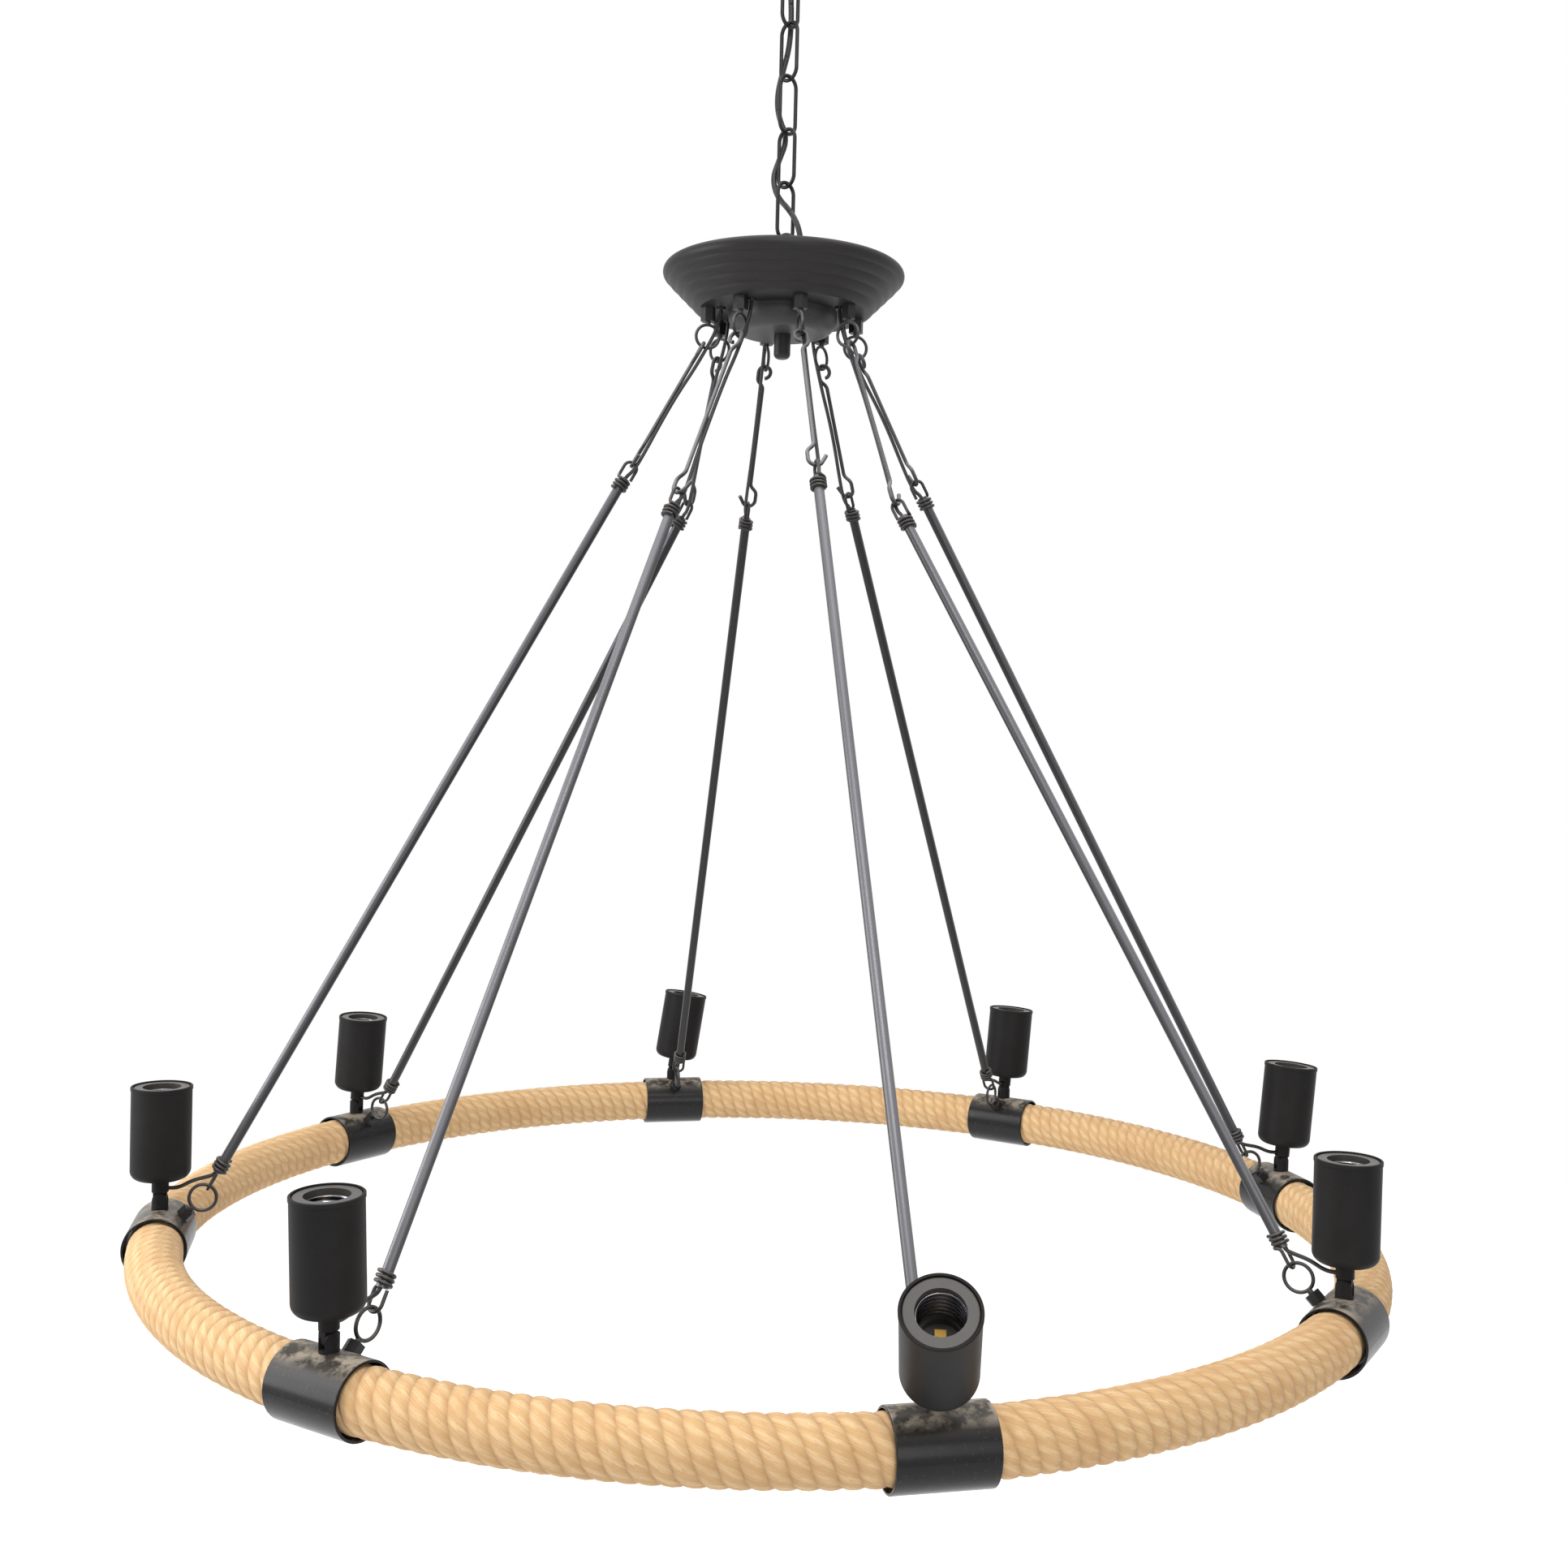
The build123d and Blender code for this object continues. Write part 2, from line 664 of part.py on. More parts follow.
def rope_strand(start_n, phase):
    """One strand with its ends run straight against the bushes."""
    places = rope_places(start_n, phase)
    edges = biarc_edges(places)
    for index, sign, lamp in ((0, -1, start_n), (-1, 1, start_n + 1)):
        point, direction = places[index]
        angle = math.radians(lamp_angles[0] - step_deg * lamp)
        square = Vector(math.sin(angle), -math.cos(angle), 0)
        reach = abs(bush_len / 2 - abs(point.dot(square)))
        end = point + square * (sign * reach)
        line = Edge.make_line(end, point) if sign < 0 else Edge.make_line(point, end)
        edges = [line] + edges if sign < 0 else edges + [line]
    return edges


def rope_section(start_n):
    strands = []
    points = []
    for start in range(rope_starts):
        edges = rope_strand(start_n, 2 * math.pi * start / rope_starts)
        strands.append(round_bar(Wire(edges), rope_d / 2))
        points.append(sampled(edges, rope_d * 0.15))
    return strands, points


def ring_tube():
    """Rolled tube whose two ends meet inside the first collar, beside its bush."""
    section = Circle(ring_tube_r) - Circle(ring_tube_r - ring_tube_wall)
    seam = math.degrees(seam_gap / ring_r)
    seam_place = lamp_angles[0] + math.degrees((bush_len / 2 + seam_offset) / ring_r)
    tube = revolve(Plane.XZ * Pos(ring_r, 0) * section, Axis.Z, revolution_arc=360.0 - seam)
    tube = Pos(0, 0, ring_z) * Rot(0, 0, seam_place) * tube
    for n in range(lamp_count):
        tube -= station(n) * upright(spigot_r + fit_gap, 0, ring_tube_r + 1)
    return tube


def collar(n):
    sleeve = Rot(90, 0, 0) * (Cylinder(collar_r, collar_len) - Cylinder(collar_bore_r, collar_len))
    ends = [e for e in sleeve.edges().filter_by(GeomType.CIRCLE) if e.radius > collar_bore_r + 0.1]
    sleeve = fillet(ends, collar_edge_r)
    sleeve -= upright(spigot_r + fit_gap, 0, collar_r + 1)
    sleeve -= Rot(0, eye_tilt_deg - 90, 0) * upright(shank_r + fit_gap, 0, collar_r + 1)
    return station(n) * sleeve


def collar_bush(n):
    """Disc between the ring tube and the collar, tapped for the lamp's foot and the screw eye."""
    disc = Rot(90, 0, 0) * Cylinder(collar_bore_r - fit_gap, bush_len)
    disc -= upright(spigot_r + fit_gap, 0, collar_r)
    disc -= Rot(0, eye_tilt_deg - 90, 0) * upright(shank_r + fit_gap, 0, collar_r)
    hole = Pos(0, 0, ring_z) * Torus(ring_r, ring_tube_r + fit_gap)
    return station(n) * disc - hole


def foot_frame(n):
    """Frame at lamp n's pivot before it leans: X is the way it leans, Z up."""
    return station(n) * Pos(0, 0, collar_r + pivot_h) * Rot(0, 0, foot_turn_deg[n])


def lamp_frame(n):
    """Frame at the pivot with Z along the lamp."""
    return foot_frame(n) * Rot(0, lamp_lean_deg[n], 0)


def lamp_foot(n):
    """Fork on the collar: two rounded ears and a spigot down into the ring tube."""
    slot_half = tongue_t / 2 + joint_gap
    ears = upright(stem_r, 0, ear_r) & (Rot(90, 0, 0) * Cylinder(ear_r, 2 * stem_r))
    body = upright(stem_r, -pivot_h - 2, 0) + ears
    body -= Pos(0, 0, ear_r - tongue_r - 0.4) * Box(4 * stem_r, 2 * slot_half, 2 * ear_r)
    body -= Rot(90, 0, 0) * Cylinder(pin_r + fit_gap, 3 * stem_r)
    body = foot_frame(n) * body
    body -= station(n) * Rot(90, 0, 0) * Cylinder(collar_r + fit_gap / 2, collar_len)
    spigot_low = ring_tube_r - ring_tube_wall
    return body + station(n) * upright(spigot_r, spigot_low, collar_r + 0.6)


def lamp_pin(n):
    return foot_frame(n) * Rot(90, 0, 0) * Cylinder(pin_r, 2 * stem_r - 0.4)


def lamp_cup(n):
    """Steel cup on its stem; the stem ends in the tongue that turns in the fork."""
    top = cup_bottom_h + cup_h
    inner_r = cup_r - cup_wall
    inner_floor = cup_bottom_h + cup_wall
    nipple_top = inner_floor + nipple_h
    inner_corner = cup_corner_r - cup_wall
    outer = [
        (stem_bore_r, stem_shoulder_h + 1.2),
        (stem_r, stem_shoulder_h + 1.2),
        (stem_r, cup_bottom_h),
        (cup_r - cup_corner_r, cup_bottom_h),
    ]
    lip = [
        (cup_r, cup_bottom_h + cup_corner_r),
        (cup_r, top - cup_bead_h),
        (cup_r + cup_bead_t, top - cup_bead_h + cup_bead_t),
        (cup_r + cup_bead_t, top - cup_bead_t),
        (cup_r, top),
        (inner_r, top),
        (inner_r, cup_bottom_h + cup_corner_r),
    ]
    inner = [
        (cup_r - cup_corner_r, inner_floor),
        (nipple_r, inner_floor),
        (nipple_r, nipple_top),
        (stem_bore_r, nipple_top),
        outer[0],
    ]
    edges = Polyline(*[(r, 0, z) for r, z in outer]).edges()
    edges.append(rounded_corner(outer[-1], lip[0], cup_corner_r))
    edges += Polyline(*[(r, 0, z) for r, z in lip]).edges()
    edges.append(rounded_corner(inner[0], lip[-1], inner_corner))
    edges += Polyline(*[(r, 0, z) for r, z in inner]).edges()
    cup = revolve(Face(Wire(edges)), Axis.Z)
    cup += upright(stem_r, stem_shoulder_h, stem_shoulder_h + 1.2)
    tongue = Rot(90, 0, 0) * Cylinder(tongue_r, tongue_t)
    tongue += Pos(0, 0, stem_shoulder_h / 2) * Box(2 * tongue_r, tongue_t, stem_shoulder_h)
    cup += tongue
    cup -= Rot(90, 0, 0) * Cylinder(pin_r + fit_gap, 2 * tongue_t)
    hole_turn = 180.0 - foot_turn_deg[n]
    hole = Rot(0, 0, hole_turn) * Pos(stem_r, 0, cable_hole_h) * Rot(0, 90, 0)
    cup -= hole * Cylinder(cable_hole_r, 2 * stem_r)
    return lamp_frame(n) * cup


def lamp_socket(n):
    """Insulator that fills the cup: a foot on the cup's floor, and the bore for the bulb's cap."""
    low = cup_bottom_h + cup_wall
    top = cup_bottom_h + cup_h - socket_recess
    body_r = cup_r - cup_wall - socket_gap
    bore_floor = top - socket_bore_depth
    shape = upright(body_r, low + socket_foot_h, top)
    shape += upright(socket_foot_r, low, low + socket_foot_h)
    shape -= upright(socket_bore_r, bore_floor, top)
    shape -= upright(nipple_r + fit_gap, low, low + nipple_h + 0.5)
    rim = [e for e in shape.edges().filter_by(GeomType.CIRCLE) if abs(e.radius - body_r) < 0.01]
    shape = fillet(rim, 1.0)
    shape -= upright(socket_well_r, bore_floor - socket_well_depth, bore_floor)
    slot = Box(contact_w + 2 * fit_gap, contact_w + 2 * fit_gap, contact_base)
    return lamp_frame(n) * (shape - Pos(0, 0, bore_floor - socket_well_depth - contact_base / 2) * slot)


def lamp_contact(n):
    """Sprung brass tongue in the well below the bore."""
    floor = cup_bottom_h + cup_h - socket_recess - socket_bore_depth - socket_well_depth
    base = Pos(0, 0, floor - contact_base / 2) * Box(contact_w, contact_w, contact_base)
    leaf = Pos((contact_w - contact_t) / 2, 0, floor + contact_h / 2) * Box(contact_t, contact_w, contact_h)
    top = Pos((contact_w - contact_len) / 2, 0, floor + contact_h - contact_t / 2)
    leaf += top * Box(contact_len, contact_w, contact_t)
    return lamp_frame(n) * (base + leaf)


def lamp_cable_points(n):
    """Route of lamp n's cable, from the terminal block in the hub to the socket."""
    to_lamp = lamp_frame(n)
    to_hook = on_hook(n)
    to_rod = on_rod(n)
    turn = Rot(0, 0, lamp_angles[n])
    kink = rod_line(n)[2] - hook_leans[n]

    def hook_point(x, y, z):
        return (to_hook * Pos(x, y, z)).position

    def rod_point(x, y, z):
        return (to_rod * Pos(x, y, z)).position

    def hub_point(x, z):
        return (turn * Pos(x, bush_side, z)).position

    def lamp_point(x, z):
        place = to_lamp * Rot(0, 0, 180.0 - foot_turn_deg[n]) * Pos(x, 0, z)
        return place.position

    inside = cup_bottom_h + cup_wall + nipple_h - 1.5
    beside_x = -(hook_wire / 2 + cable_r + 0.25)
    beside_y = rod_eye_wire / 2 + cable_r + 0.35
    near = -2.3
    points = [
        hub_point(math.sqrt(block_r ** 2 - (bush_side - cable_r) ** 2), floor_z + cable_rise),
        hub_point(bush_r, floor_z + cable_rise),
        hub_point(bush_r, floor_z - cable_rise),
        hook_point(beside_x - 0.8, beside_y, -14.0),
        hook_point(near, -near, -42.0),
        hook_point(near, -near, 42.0 - hook_lens[n]),
        hook_point(beside_x, beside_y, 16.0 - hook_lens[n]),
        rod_point(beside_x / math.cos(kink) - 3.0 * math.tan(kink), beside_y, -3.0),
        rod_point(0, 0, rod_top + 1.0),
        rod_point(0, 0, rod_foot(n) - 1.5),
        rod_point(5.0, 0, rod_foot(n) - 6.5),
    ]
    exit_point = lamp_point(stem_r + 7.0, cable_hole_h)
    before = points[-1]
    midway = before + (exit_point - before) * 0.5 + Vector(0, 0, 1.5)
    points += [midway, exit_point, lamp_point(0, cable_hole_h), lamp_point(0, inside)]
    return points


def lamp_cable(n):
    points = lamp_cable_points(n)
    radii = corner_radii(points, cable_r)
    path = bent_path([tuple(p) for p in points], radii)
    return round_bar(path, cable_r), path.length, radii


def power_cord():
    """Supply cord: from the canopy loop, beside the chain, through its last link and into the hub."""
    foot = floor_z + dish_wall + block_h
    route = [
        (0, 0, -canopy_depth + 4),
        (0, 0, canopy_loop_z + loop_r - 6.0),
        (0.4, 7.2, canopy_loop_z - 2.0),
        (0.2, 7.6, first_link_z - 16.0),
        (1.2, 8.2, first_link_z - 36.0),
        (0.0, 9.0, first_link_z - 58.0),
        (-4.8, 10.6, first_link_z - 76.0),
        (-8.6, 7.4, first_link_z - 95.0),
        (-7.5, 8.6, first_link_z - 111.0),
        (0.5, 9.4, first_link_z - 128.0),
        (-6.8, 10.6, first_link_z - 147.0),
        (-10.6, 7.4, first_link_z - 160.0),
        (-7.0, 4.6, first_link_z - 175.0),
        (4.5, -3.6, first_link_z - 189.0),
        (11.5, -6.0, first_link_z - 203.0),
        (cord_entry_x, cord_entry_y, first_link_z - 222.0),
        (cord_entry_x, cord_entry_y, foot),
    ]
    radii = corner_radii(route, cord_r)
    path = bent_path(route, radii)
    return round_bar(path, cord_r), path.length, radii


def save(name, solids):
    """Write one node, a single solid or a group of separate ones."""
    group = solids if isinstance(solids, list) else [solids]
    parts = []
    for shape in group:
        parts += shape.solids()
    node = parts[0] if len(parts) == 1 else Compound(children=parts)
    export_step(node, f"parts/{name}.step")


def main():
    os.makedirs("parts", exist_ok=True)
    save("ceiling_bracket", ceiling_bracket())
    nipple_low = -canopy_depth - canopy_neck_h / 2
    save("ceiling_nipple", upright(nipple_outer_r, nipple_low, 0) - upright(nipple_bore_r, nipple_low, 0))
    nut = hex_nut(nipple_nut_across, nipple_nut_h, nipple_outer_r + fit_gap)
    save("nipple_nut", Pos(0, 0, -bracket_t - nipple_nut_h) * nut)
    save("ceiling_canopy", ceiling_canopy())
    neck_low = -canopy_depth - canopy_neck_h
    loop = loop_with_neck(
        canopy_loop_z, neck_low, -canopy_depth, hub_neck_r, nipple_bore_r, nipple_low, 0, link_turn_deg + 90
    )
    save("canopy_loop", loop)
    for n in range(link_count):
        save(f"chain_link_{n + 1}", link_frame(n) * chain_link())
    cord, cord_len, cord_radii = power_cord()
    share = cord.volume / (math.pi * cord_r ** 2 * cord_len)
    print(f"power cord {cord_len:.0f} mm, volume share {share:.4f}")
    print("power cord radii", [round(r, 1) for r in cord_radii])
    save("power_cord", cord)

    save("hub_dish", hub_dish())
    save("hub_lid", hub_lid())
    save("hub_bowl", hub_bowl())
    rod_low = floor_z - bowl_h - finial_h / 2
    rod_high = lid_top_z + hub_neck_h / 2
    save("hub_rod", upright(hub_rod_r, rod_low, rod_high) - upright(hub_rod_bore_r, rod_low, rod_high))
    neck_high = lid_top_z + hub_neck_h
    loop = loop_with_neck(
        hub_loop_z, lid_top_z, neck_high, hub_neck_r, hub_rod_bore_r, lid_top_z, rod_high, link_turn_deg + 90
    )
    save("hub_loop", loop)
    save("hub_finial", hub_finial())
    save("terminal_block", terminal_block())
    save("cable_bushes", cable_bushes())
    save("hub_eyes", around(hub_eye))
    save("eye_nuts", eye_nuts())

    save("upper_hooks", around(upper_hook))
    save("lower_rods", around(lower_rod))
    wire_eye, eye_points = rod_eye()
    eyes = []
    for n in range(lamp_count):
        eyes.append(on_rod(n) * Pos(0, 0, rod_eye_top) * wire_eye)
        eyes.append(on_rod(n) * Pos(0, 0, rod_eye_foot(n)) * Rot(180, 0, 90) * wire_eye)
    save("rod_eyes", eyes)
    print(f"rod eye wraps, least gap {least_gap(eye_points, eye_points, rod_eye_wire, True):.2f} mm")
    cables = []
    for n in range(lamp_count):
        cable, length, radii = lamp_cable(n)
        share = cable.volume / (math.pi * cable_r ** 2 * length)
        bends = [round(r) for r in radii]
        print(f"lamp cable {n + 1}: {length:.0f} mm, volume share {share:.4f}, radii {bends}")
        cables.append(cable)
    save("lamp_cables", cables)

    save("ring_tube", ring_tube())
    save("collars", around(collar))
    save("collar_bushes", around(collar_bush))
    save("collar_eyes", around(collar_eye))
    save("lamp_feet", around(lamp_foot))
    save("lamp_pins", around(lamp_pin))
    sections_per_node = lamp_count // len(rope_nodes)
    for index, name in enumerate(rope_nodes):
        strands = []
        for offset in range(sections_per_node):
            section, points = rope_section(index * sections_per_node + offset)
            strands += section
        save(name, strands)
    own = min(least_gap(p, p, rope_d, True) for p in points)
    between = min(least_gap(points[i - 1], points[i], rope_d, False) for i in range(rope_starts))
    print(f"rope strand, least gap to itself {own:.2f} mm, to its neighbour {between:.2f} mm")

    for n in range(lamp_count):
        save(f"{lamp_names[n]}_cup", lamp_cup(n))
        save(f"{lamp_names[n]}_socket", lamp_socket(n))
        save(f"{lamp_names[n]}_contact", lamp_contact(n))
    print(f"ring centre plane {ring_z:.1f} mm, hub floor {floor_z:.1f} mm")
    print(f"straight line's lean {math.degrees(line_lean):.2f} degrees, rods",
          [f"{rod_top - rod_foot(n):.0f} mm" for n in range(lamp_count)])


if __name__ == "__main__":
    main()
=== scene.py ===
import json
import math
import random
import bpy
from mathutils import Matrix, Vector, noise


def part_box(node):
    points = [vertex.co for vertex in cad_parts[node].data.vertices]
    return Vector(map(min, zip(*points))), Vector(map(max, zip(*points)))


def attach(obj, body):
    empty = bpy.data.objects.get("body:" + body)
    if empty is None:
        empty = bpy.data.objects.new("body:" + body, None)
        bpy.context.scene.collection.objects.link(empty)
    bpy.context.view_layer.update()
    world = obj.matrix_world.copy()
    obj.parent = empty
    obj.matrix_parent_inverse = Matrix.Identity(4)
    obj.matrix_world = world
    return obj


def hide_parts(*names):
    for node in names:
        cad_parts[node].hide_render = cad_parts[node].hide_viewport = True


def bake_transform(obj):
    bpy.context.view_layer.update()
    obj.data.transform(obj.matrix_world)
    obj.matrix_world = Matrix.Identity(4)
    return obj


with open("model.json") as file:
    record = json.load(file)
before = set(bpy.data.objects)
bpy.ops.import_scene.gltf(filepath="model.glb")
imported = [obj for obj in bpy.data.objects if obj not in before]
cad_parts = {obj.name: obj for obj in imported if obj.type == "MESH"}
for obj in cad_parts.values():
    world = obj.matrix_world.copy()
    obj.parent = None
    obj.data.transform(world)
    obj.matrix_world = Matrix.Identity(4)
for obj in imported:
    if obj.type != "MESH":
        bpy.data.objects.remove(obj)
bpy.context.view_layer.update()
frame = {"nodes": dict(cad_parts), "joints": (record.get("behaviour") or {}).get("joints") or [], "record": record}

# Places read from the frame, in metres
joints = {joint["name"]: joint for joint in frame["joints"]}
mounts = {mount["name"]: mount for mount in frame["record"]["mounts"]}
lamp_count = sum(name.endswith("_tilt") for name in joints)
lamp_names = [f"lamp_{n + 1}" for n in range(lamp_count)]
tube_low, tube_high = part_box("ring_tube")
ring_z = (tube_low.z + tube_high.z) / 2
link_wire = 0.003
first_link_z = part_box("chain_link_1")[1].z - link_wire / 2
hub_floor_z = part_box("hub_dish")[0].z
hub_lid_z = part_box("hub_lid")[0].z
full_turn = 2 * math.pi

# Sizes that the pieces made here share with the solids
ring_r = 0.450
first_lamp_angle = math.radians(-77.25)
lamp_step = full_turn / lamp_count
rope_across = 0.0096
rope_wind_r = 0.0147
rope_turns = 9
rope_strands = 3
rope_lead = 0.026
bush_half = 0.006
cable_r = 0.0014
cord_r = 0.0022
stem_r = 0.006
cable_hole_h = 0.0083
hub_eye_x = 0.05925
hub_eye_drop = 0.022
hub_eye_r = 0.009
collar_eye_reach = 0.042
collar_eye_r = 0.0096
hook_lens = [0.122, 0.146, 0.109, 0.116, 0.118, 0.107, 0.108, 0.131]
hook_sags = [math.radians(angle) for angle in (0, 0, 0, 16, 0, 4, 2, 9.5)]
rod_eye_len = 0.014
rod_eye_gap = 0.0028
rod_end_gap = 0.00255
bush_r = 0.0495
bush_side = 0.0033
cable_rise = 0.011
block_r = 0.030
socket_bore_r = 0.0134
socket_bore_depth = 0.027

# The photograph's camera, fitted to the ring, the lamps and the hub
frame_px = 1932
focal_px = 2093.4
sensor_mm = 36.0
camera_place = Vector((0.0086, -1.3349, 0.3672 + ring_z))
camera_yaw = math.radians(-0.046)
camera_pitch = math.radians(-1.09)
camera_roll = math.radians(-1.375)


class Signal:
    """A value that varies over a surface; an expression on it adds the Math nodes that it needs."""

    def __init__(self, paint, socket):
        self.paint = paint
        self.socket = socket

    def math(self, operation, *values):
        return self.paint.add("ShaderNodeMath", {"operation": operation}, dict(enumerate(values)))

    def __add__(self, other):
        return self.math("ADD", self, other)

    def __radd__(self, other):
        return self.math("ADD", other, self)

    def __sub__(self, other):
        return self.math("SUBTRACT", self, other)

    def __rsub__(self, other):
        return self.math("SUBTRACT", other, self)

    def __mul__(self, other):
        return self.math("MULTIPLY", self, other)

    def __rmul__(self, other):
        return self.math("MULTIPLY", other, self)

    def __pow__(self, other):
        return self.math("POWER", self, other)

    def sine(self):
        return self.math("SINE", self)

    def clipped(self):
        """The value held between 0 and 1."""
        return self.math("MINIMUM", self.math("MAXIMUM", self, 0.0), 1.0)


class Nodes:
    """A tree of nodes, of a material or of the world."""

    def __init__(self, tree):
        self.tree = tree

    def add(self, kind, settings=None, inputs=None, output=0):
        """Adds a node: its settings first, then the values or links of its sockets."""
        node = self.tree.nodes.new(kind)
        for key, value in (settings or {}).items():
            setattr(node, key, value)
        for key, value in (inputs or {}).items():
            self.feed(node.inputs[key], value)
        return Signal(self, node.outputs[output])

    def feed(self, socket, value):
        if isinstance(value, Signal):
            self.tree.links.new(value.socket, socket)
        else:
            socket.default_value = value

    def seen_directly(self):
        """1 for rays from the eye, and for those that a gloss or glass sends on."""
        rays = self.add("ShaderNodeLightPath", output="Is Camera Ray")
        outputs = rays.socket.node.outputs
        glossy = Signal(self, outputs["Is Glossy Ray"])
        through = Signal(self, outputs["Is Transmission Ray"])
        return (rays + glossy + through).clipped()


class Paint(Nodes):
    """A material made of nodes, with one principled shader."""

    def __init__(self, name):
        self.material = bpy.data.materials.new(name)
        self.material.use_nodes = True
        super().__init__(self.material.node_tree)
        self.shader = self.tree.nodes["Principled BSDF"]

    def local(self):
        """The place on the piece, which stays put when the piece moves."""
        return self.add("ShaderNodeTexCoord", output="Object")

    def across(self, output):
        """One of the two surface directions: X runs along a strand or cable, Y round it."""
        uv = self.add("ShaderNodeUVMap", {"uv_map": "run"})
        return self.add("ShaderNodeSeparateXYZ", inputs={0: uv}, output=output)

    def facing_up(self):
        """1 where the surface faces up, -1 where it faces down."""
        normal = self.add("ShaderNodeNewGeometry", output="Normal")
        return self.add("ShaderNodeSeparateXYZ", inputs={0: normal}, output="Z")

    def grain(self, per_metre, detail=3.0):
        """Soft noise from 0 to 1, with about so many spots in a metre."""
        inputs = {"Vector": self.local(), "Scale": per_metre, "Detail": detail, "Roughness": 0.6}
        return self.add("ShaderNodeTexNoise", inputs=inputs, output="Fac")

    def mix(self, share, first, second):
        return self.add("ShaderNodeMix", {"data_type": "RGBA"}, {0: share, 6: first, 7: second}, 2)

    def bump(self, height, distance, strength=1.0):
        inputs = {"Height": height, "Distance": distance, "Strength": strength}
        return self.add("ShaderNodeBump", inputs=inputs)

    def set(self, **values):
        for key, value in values.items():
            self.feed(self.shader.inputs[key.replace("_", " ")], value)
        return self.material


def shade(red, green, blue):
    """A colour as a screen shows it, from 0 to 255 each, as the linear colour of a shader."""
    parts = []
    for value in (red, green, blue):
        share = value / 255
        parts.append(share / 12.92 if share <= 0.04045 else ((share + 0.055) / 1.055) ** 2.4)
    return (*parts, 1.0)


def times(colour, factor):
    """The colour with its light changed by a factor."""
    return (*(part * factor for part in colour[:3]), 1.0)


def powder_coat(name, colour, dust_and_sheen_colour, roughness, gloss=0.22, dust_and_sheen_share=0.45, coarse=1.0, depth=0.00012):
    """Satin black coat with a fine peel of some depth, faint clouds, and tan on what faces up that is partly dust
    and partly painted sheen of light from above.
    """
    paint = Paint(name)
    clouds = paint.grain(38.0, 4.0)
    peel = paint.grain(760.0 / coarse, 2.0)
    specks = (paint.grain(420.0, 5.0) - 0.60) * 9.0
    up = paint.facing_up()
    blotches = paint.grain(95.0, 5.0)
    # painted sheen: upward faces lightened towards the tan colour; the blotches below are dust
    painted_top_sheen = ((up - 0.45) * 1.8).clipped() * 0.16
    settled = ((up - 0.66) * 4.0).clipped() * ((blotches - 0.44) * 7.0).clipped()
    dust_and_sheen = ((painted_top_sheen + settled) * dust_and_sheen_share).clipped()
    coat = paint.mix((clouds - 0.35) * 0.9, colour, times(colour, 1.7))
    dusted = paint.mix((dust_and_sheen + specks.clipped() * 0.10).clipped(), coat, dust_and_sheen_colour)
    rough = roughness + (clouds - 0.5) * 0.12 + dust_and_sheen * 0.35
    return paint.set(Base_Color=dusted, Roughness=rough, Metallic=0.0, Specular_IOR_Level=gloss,
                     Normal=paint.bump(peel * 0.7 + clouds * 0.3, depth, 0.55))


def drawn_steel(name, shaded_tone, lit_tone, roughness, metallic):
    """Dull steel wire or tube with painted light: lighter grey where it faces up, painted shade on what faces
    down.
    """
    paint = Paint(name)
    up = paint.facing_up()
    patches = paint.grain(12.0, 3.0) - 0.5
    pits = paint.grain(900.0, 3.0)
    # painted light and shade: upward faces lighter, downward faces darker
    painted_top_light = (up + patches * 0.12 + 0.33).clipped() ** 1.5
    base = paint.mix(painted_top_light, shaded_tone, lit_tone)
    rough = roughness + (pits - 0.5) * 0.15
    return paint.set(Base_Color=base, Roughness=rough, Metallic=metallic, Specular_IOR_Level=0.35,
                     Normal=paint.bump(pits, 0.00003, 0.2))


def plated_metal(name, colour, roughness):
    """Bright metal with small stains and a soft brushed grain."""
    paint = Paint(name)
    stains = ((paint.grain(75.0, 5.0) - 0.45) * 3.0).clipped()
    grain = paint.grain(1100.0, 2.0)
    base = paint.mix(stains * 0.5, colour, times(colour, 0.55))
    rough = roughness + stains * 0.2 + (grain - 0.5) * 0.1
    return paint.set(Base_Color=base, Roughness=rough, Metallic=1.0, Normal=paint.bump(grain, 0.00005, 0.4))


def moulded(name, colour, roughness):
    """Moulded insulator or cable sheath, faintly mottled."""
    paint = Paint(name)
    clouds = paint.grain(120.0, 4.0)
    texture = paint.grain(1500.0, 2.0)
    base = paint.mix(clouds, colour, times(colour, 1.6))
    return paint.set(Base_Color=base, Roughness=roughness + (clouds - 0.5) * 0.15,
                     Normal=paint.bump(texture, 0.00004, 0.4))


